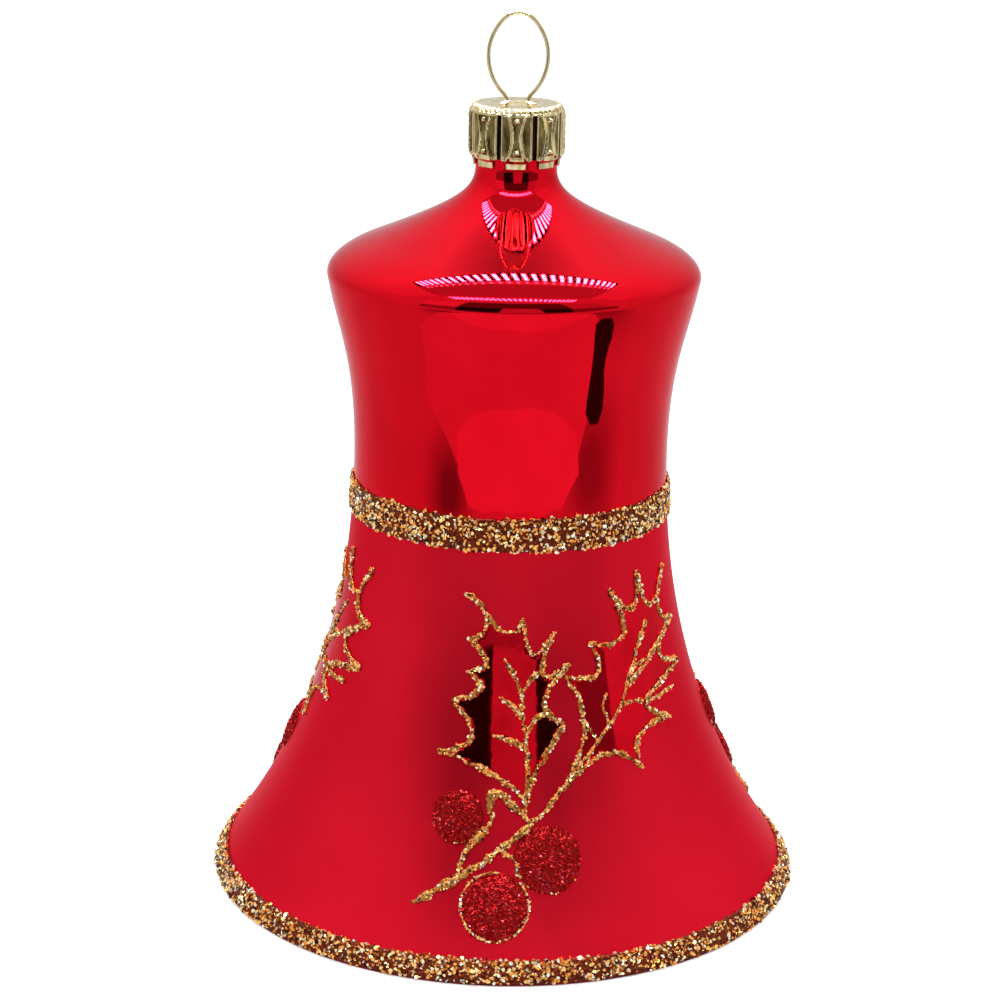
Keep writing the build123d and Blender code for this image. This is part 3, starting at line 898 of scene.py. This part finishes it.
def cap_point(r, z, middle, local):
    """A point of the cap in mm, moved by the stamped panels, fluted edge and raised bridge."""
    turn = middle + local
    out = cap_relief(local * CAP_R, z) if z < CAP_EDGE_Z + 0.05 and r > CAP_SIDE_R else 0.0
    edge = clamp((r - 4.1) / 0.3) * clamp((z - CAP_EDGE_Z) / 0.15)
    flute = 0.5 + 0.5 * cos(FLUTES * turn + 4.0 * (z - CAP_EDGE_Z))
    out -= 0.15 * edge * flute
    drop = 0.07 * edge * flute
    x, y = r * cos(turn), r * sin(turn)
    bridge = clamp((1.75 - abs(x)) / 0.25) * clamp((0.95 - abs(y)) / 0.25)
    rise = 0.28 * bridge * bridge * (3 - 2 * bridge)
    return (r + out) * cos(turn), (r + out) * sin(turn), z - drop + rise


def cap_open(r, z, local):
    """Whether a face of the cap falls in a slot between panels or beside a tab."""
    in_slot = z < PANEL_SLOT_TOP_Z and local > HALF_PANEL - HALF_GAP - 1e-6
    past_tab = z < CAP_TAB_Z + 0.18 and abs(local) > HALF_TAB - 0.02 + 0.5 * max(0, z - CAP_TAB_Z)
    return r > CAP_SIDE_R and (in_slot or past_tab)


def cap_shaded(z, local):
    """Whether a face of the cap lies in the hollow of a stamped panel, which gets the darker gold of
    painted shade.
    """
    across = local * CAP_R
    on_panel = PANEL_FOOT_Z + 0.1 < z < CAP_EDGE_Z - 0.25 and abs(across) < 1.52
    return on_panel and cap_relief(across, z) < 0.015


def crown_cap():
    """The stamped cap, an open surface given the thickness of its sheet."""
    profile = cap_profile()
    columns = cap_columns()
    points = [cap_point(r, z, *column) for r, z in profile for column in columns]
    wide = len(columns)
    faces = []
    slots = []
    for i, (upper, lower) in enumerate(zip(profile, profile[1:])):
        z = (upper[1] + lower[1]) / 2
        for j, column in enumerate(columns):
            local = column[1] + HALF_GAP / 2
            if cap_open(upper[0], z, local):
                continue
            k = (j + 1) % wide
            faces.append((i * wide + j, (i + 1) * wide + j, (i + 1) * wide + k, i * wide + k))
            slots.append(int(cap_shaded(z, local)))
    faces.append(tuple(range(wide)))
    slots.append(0)
    build = Build()
    build.add(np.array(points) * MM, faces, slots)
    mats = [MAT["sheet"], MAT["recess"]]
    cap = build.piece("stamped_crown_cap", mats, "cap", "gold_cap", "crown_cap")
    bm = bmesh.new()
    bm.from_mesh(cap.data)
    bmesh.ops.delete(bm, geom=[v for v in bm.verts if not v.link_faces], context="VERTS")
    bmesh.ops.recalc_face_normals(bm, faces=bm.faces)
    bm.to_mesh(cap.data)
    bm.free()
    thick = cap.modifiers.new("sheet", "SOLIDIFY")
    thick.thickness = CAP_SHEET * MM
    thick.offset = -1
    return cap


# ---- wires and clapper ----
def arc(centre, radius, start, end, steps=14):
    """Points on an arc in the XZ plane, angles in degrees from +X towards +Z."""
    turns = np.radians(np.linspace(start, end, steps))
    return [(centre[0] + radius * cos(t), 0.0, centre[1] + radius * sin(t)) for t in turns]


def rounded(corners, radius, steps=8):
    """A route in the XZ plane with its corners rounded."""
    rows = [corners[0]]
    for before, corner, after in zip(corners, corners[1:], corners[2:]):
        a, b, c = Vector(before), Vector(corner), Vector(after)
        into, away = (b - a).normalized(), (c - b).normalized()
        turn = into.angle(away)
        trim = radius * sin(turn / 2) / cos(turn / 2)
        for k in range(steps + 1):
            t = k / steps
            p = (1 - t) ** 2 * (b - into * trim) + 2 * (1 - t) * t * b + t * t * (b + away * trim)
            rows.append(tuple(p))
    rows.append(corners[-1])
    return [(x, 0.0, z) for x, z in rows]


def densify(path, step):
    """The same path with more points, at most a step or so apart."""
    rows = [Vector(path[0])]
    for p in path[1:]:
        p = Vector(p)
        gap = (p - rows[-1]).length
        start = rows[-1].copy()
        count = max(1, int(gap / step))
        for k in range(1, count + 1):
            rows.append(start.lerp(p, k / count))
    return rows


def hanger():
    """The oval loop, its two legs through the cap and its ends turned inward as a bar."""
    side_x = LOOP_HALF_WIDTH - LOOP_SIDE_R
    turn = radians(LOOP_FOOT_TURN)
    foot_x = side_x + LOOP_SIDE_R * cos(turn)
    foot_z = LOOP_MID_Z - LOOP_SIDE_R * sin(turn)
    bend_r = (foot_x - SLOT_X) / (1 - cos(turn))
    slot_z = foot_z - bend_r * sin(turn)
    top_z = LOOP_MID_Z + sqrt((LOOP_SIDE_R - LOOP_TOP_R) ** 2 - side_x**2)
    top_turn = np.degrees(atan2(top_z - LOOP_MID_Z, -side_x))
    half = rounded(
        [(-BAR_REACH, PIVOT_Z + BAR_SPACING / 2), (LEG_X, PIVOT_Z + BAR_SPACING / 2), (LEG_X, SPLAY_FOOT_Z),
         (SLOT_X, SPLAY_TOP_Z), (SLOT_X, slot_z)], LEG_BEND_R)
    right = half + arc((SLOT_X + bend_r, slot_z), bend_r, 180, 180 - LOOP_FOOT_TURN)[1:]
    right += arc((side_x, LOOP_MID_Z), LOOP_SIDE_R, -LOOP_FOOT_TURN, top_turn, 26)[1:]
    right += arc((0, top_z), LOOP_TOP_R, top_turn, 90, 10)[1:]
    left = [(-x, y, z if z > PIVOT_Z + 2 * BAR_SPACING else z - BAR_SPACING) for x, y, z in right]
    build = Build()
    tube(build, densify(right + left[::-1][1:], 0.3), HANGER_WIRE_R)
    return build.piece("spring_wire_hanger", [MAT["wire"]], "cap", "gold_wire", "hanger_wire")


def clapper_wire():
    """A wire with a closed eye, its end wrapped three times round the shank."""
    r = CLAPPER_WIRE_R
    turn = np.linspace(0, 2 * pi, 40, endpoint=False)
    eye = [(0.0, EYE_R * sin(t), PIVOT_Z - EYE_R * cos(t)) for t in turn]
    build = Build()
    tube(build, eye, r, closed=True)
    shank = [(0, 0, z) for z in np.arange(BEAD_Z - 2.4, PIVOT_Z - EYE_R, 1.0)] + [(0, 0, PIVOT_Z - EYE_R)]
    tube(build, shank, r)
    wrap_r = 2 * r - 0.02
    top = PIVOT_Z - EYE_R - r
    wrap = []
    for t in np.linspace(0, 3 * 2 * pi, 72):
        wrap.append((wrap_r * sin(t), wrap_r * cos(t), top - 2.05 * r * t / (2 * pi)))
    tube(build, wrap, r * 0.98)
    return build.piece("clapper_hook_wire", [MAT["wire"]], "clapper", "gold_wire", "clapper_wire")


def clapper_bead():
    """A blown bead with a short collar, sealed with glue round the wire."""
    profile = []
    collar_turn = asin(BEAD_COLLAR_R / BEAD_R)
    for t in np.linspace(-pi / 2 + 0.01, pi / 2 - collar_turn - 0.12, 46):
        profile.append((BEAD_R * cos(t), BEAD_Z + BEAD_R * sin(t)))
    neck_z = BEAD_Z + BEAD_COLLAR_TOP
    profile += bend(profile[-1], (BEAD_COLLAR_R, BEAD_Z + BEAD_R + 0.1), (BEAD_COLLAR_R, neck_z - 0.2))[1:]
    r = BEAD_COLLAR_R
    profile += bend((r, neck_z - 0.15), (r, neck_z), (r - 0.2, neck_z), steps=5)
    profile += bend((0.6, neck_z), (0.35, neck_z), (0.27, neck_z + 0.35), steps=5)
    profile += [(0.2, neck_z + 0.36), (0.02, neck_z + 0.36)]
    build = Build()
    revolve(build, profile, 96)
    return build.piece("clapper_glass_bead", [MAT["bead"]], "clapper", "gold_glass", "clapper_bead")


glass_bell()
glitter_band("waist_glitter_band", *UPPER_BAND, "upper_glitter_band", BAND_FLAKES)
glitter_band("mouth_glitter_band", RIM_BAND[0] - RIM_BAND_RUN, RIM_BAND[1], "rim_glitter_band", RIM_FLAKES)
for sprig in SPRIG_AZIMUTH:
    linework(sprig)
    leaf_panel(sprig, "upright_leaf", UPRIGHT_LEAF)
    leaf_panel(sprig, "slanting_leaf", SLANTING_LEAF)
    for place, (turn, height, radius) in BERRIES[sprig].items():
        berry(sprig, place, turn, height, radius)
crown_cap()
hanger()
clapper_wire()
clapper_bead()


# ---- stage, light and camera ----
def stage_sheet(name, corners, material, faces=None):
    """A flat part of the set, from its corners in mm."""
    mesh = bpy.data.meshes.new(name)
    points = [tuple(v * MM for v in p) for p in corners]
    mesh.from_pydata(points, [], faces or [tuple(range(len(points)))])
    mesh.materials.append(material)
    obj = bpy.data.objects.new(name, mesh)
    bpy.context.collection.objects.link(obj)
    return obj


def card(name, corners, strength, faces=None, soft=False):
    """A card of the light box that is only seen mirrored in the ornament."""
    obj = stage_sheet(name, corners, glow(name, strength, soft), faces)
    for seen_by in ("camera", "diffuse", "transmission", "volume_scatter", "shadow"):
        setattr(obj, "visible_" + seen_by, False)


def level(z, *places):
    """Corners at one height, from (x, y) places."""
    return [(x, y, z) for x, y in places]


def box_floor():
    """The floor of the light box: a paper that is bright in front, and three shades on it."""
    card("box_floor", level(-1.5, (-900, -900), (900, -900), (900, 900), (-900, 900)), 0.76)
    card("box_paper", level(
        -1.0, (-97, -125), (112, -125), (110, -100), (92, -62), (50, -30), (0, -20), (-50, -30), (-99, -57),
    ), 0.88)
    card("box_paper_front", level(
        -0.7, (-93, -170), (-60, -190), (0, -200), (70, -190), (113, -158), (124, -112),
        (94, -93), (58, -96), (0, -106), (-52, -100), (-82, -104), (-100, -134),
    ), 1.03)
    card("box_paper_near", level(
        -0.5, (-150, -330), (150, -330), (170, -190), (0, -202), (-150, -190),
    ), 0.92)
    card("left_shade", level(-1.2, (-190, -200), (-60, -200), (-60, -70), (-190, -70)), 0.24, soft=True)
    card("right_shade", level(-1.2, (63, -167), (213, -167), (213, -17), (63, -17)), 0.34, soft=True)
    card("standing_shade", level(
        -0.2, (91, -73), (83, -65), (75, -55), (83, -43), (96, -45), (107, -51), (112, -61), (104, -72),
    ), 0.03)


def box_opening():
    """The open front of the light box: a dark room, paler to both sides, and a pale shape in its middle."""
    for name, left, right, low, high, strength in (
        ("box_opening", -205, 205, 40, 200, 0.02),
        ("box_opening_foot", -205, 205, -1, 40, 0.42),
        ("box_opening_top", -205, 205, 200, 470, 0.14),
        ("box_opening_left", -470, -205, 20, 180, 0.36),
        ("box_opening_right", 205, 620, 20, 180, 0.28),
        ("box_opening_left_top", -470, -205, 180, 470, 1.00),
        ("box_opening_right_top", 205, 470, 180, 470, 0.66),
    ):
        corners = [(left, low), (right, low), (right, high), (left, high)]
        card(name, [(x, FRONT_Y, z) for x, z in corners], strength)
    middle = [(-46, 40), (94, 40), (78, 200), (-34, 200)]
    card("box_opening_middle", [(x, FRONT_Y + 4, z) for x, z in middle], 0.68)


def front_row(x):
    """Where the front row of lamps runs, as y over x: straight and a little askew."""
    return -101 - 0.07 * x


def rear_row(x):
    """Where the rear row runs: it bows forward towards its ends, more so on the left."""
    return 104 - 28 * (x / 140) ** 2 + 11 * (x / 140)


def lamp_row(name, row, near, far, width, strength):
    """A card of slanting bars side by side, each reaching from near to far past its row."""
    corners = []
    faces = []
    for k in range(-13, 14):
        x, y = LAMP_GAP * k, row(LAMP_GAP * k)
        start, end = x - LAMP_SLANT * near, x - LAMP_SLANT * far
        faces.append(tuple(range(len(corners), len(corners) + 4)))
        corners += level(ROOF_Z - 3, (start, y + near), (start + width, y + near))
        corners += level(ROOF_Z - 3, (end + width, y + far), (end, y + far))
    card(name, corners, strength, faces)


def box_roof():
    """The roof of the light box, with two rows of lamps and the dark strip behind the rear row."""
    card("roof_middle", level(ROOF_Z, (-150, -60), (150, -60), (140, 60), (-140, 60)), 0.62)
    side_outline = [(150, -70), (340, -90), (340, 60), (140, 40)]
    for name, side in (("roof_left", -1), ("roof_right", 1)):
        card(name, level(ROOF_Z, *((side * x, y) for x, y in side_outline)), 1.05)
    lamp_row("rear_lamps", rear_row, -20, 15, 4.0, 110)
    lamp_row("rear_lamp_ends", rear_row, -38, -30, 2.8, 30)
    lamp_row("front_lamps", front_row, -18, 18, 4.4, 75)
    steps = [LAMP_GAP * k for k in range(-14, 15, 4)]
    n = len(steps)
    strip = [(x, rear_row(x) + reach, ROOF_Z - 2) for reach in (-22, 20) for x in steps]
    card("rear_lamps_back", strip, 0.03, [(k, k + 1, n + k + 1, n + k) for k in range(n - 1)])
    card("rear_roof", level(ROOF_Z + 2, (-80, 65), (80, 65), (80, 225), (-80, 225)), 0.58, soft=True)


def softbox(name, place, aim, width, height, watts):
    """A rectangular light at a place in mm, turned to face another."""
    lamp = bpy.data.lights.new(name, "AREA")
    lamp.shape = "RECTANGLE"
    lamp.size, lamp.size_y = width * MM, height * MM
    lamp.energy = watts
    obj = bpy.data.objects.new(name, lamp)
    obj.location = Vector(place) * MM
    obj.rotation_mode = "QUATERNION"
    obj.rotation_quaternion = (Vector(aim) - Vector(place)).to_track_quat("-Z", "Y")
    obj.visible_glossy = False
    bpy.context.collection.objects.link(obj)


def world():
    """Pale walls all round; behind, they brighten from the level upward."""
    w = bpy.data.worlds.new("studio")
    bpy.context.scene.world = w
    w.use_nodes = True
    nodes, links = w.node_tree.nodes, w.node_tree.links
    back = nodes["Background"]
    back.inputs["Color"].default_value = (1, 1, 1, 1)
    split = nodes.new("ShaderNodeSeparateXYZ")
    links.new(nodes.new("ShaderNodeTexCoord").outputs["Generated"], split.inputs[0])
    front = 0.80
    rear = map_range(w.node_tree, split.outputs["Z"], 0.66, 1.18, 0.1, 0.8)
    mix = nodes.new("ShaderNodeMix")
    mix.inputs[2].default_value = front
    links.new(map_range(w.node_tree, split.outputs["Y"], 0.0, 1.0, -0.2, 0.4), mix.inputs[0])
    links.new(rear, mix.inputs[3])
    links.new(mix.outputs[0], back.inputs["Strength"])


def camera():
    """The photographer's camera, worked out from the rim, band and outline of the bell."""
    distance, height, shift = 280.0, 127.9, 0.3
    pitch, lean = radians(17.02), 0.0178
    data = bpy.data.cameras.new("camera")
    data.lens = 96.6132
    data.sensor_width = 36
    data.clip_start = 0.01
    data.clip_end = 20
    obj = bpy.data.objects.new("camera", data)
    bpy.context.collection.objects.link(obj)
    tilt = Matrix.Rotation(-lean, 3, "Y")
    right = tilt @ Vector((1, 0, 0))
    up = tilt @ Vector((0, sin(pitch), cos(pitch)))
    back = tilt @ Vector((0, -cos(pitch), sin(pitch)))
    place = tilt @ (Vector((-shift, -distance, height)) * MM)
    turn = Matrix((right, up, back)).transposed()
    obj.matrix_world = Matrix.Translation(place) @ turn.to_4x4()
    bpy.context.scene.camera = obj


floor_corners = level(0, (-3000, -3000), (3000, -3000), (3000, 3000), (-3000, 3000))
floor = stage_sheet("floor", floor_corners, MAT["floor"])
floor.visible_glossy = False
box_floor()
box_opening()
box_roof()
softbox("front_lamp_row", (0, -115, 298), (0, 0, 30), 300, 35, 0.35)
softbox("rear_lamp_row", (0, 60, 298), (0, 0, 30), 300, 20, 0.25)
world()
camera()
bpy.context.scene.view_settings.view_transform = "Standard"
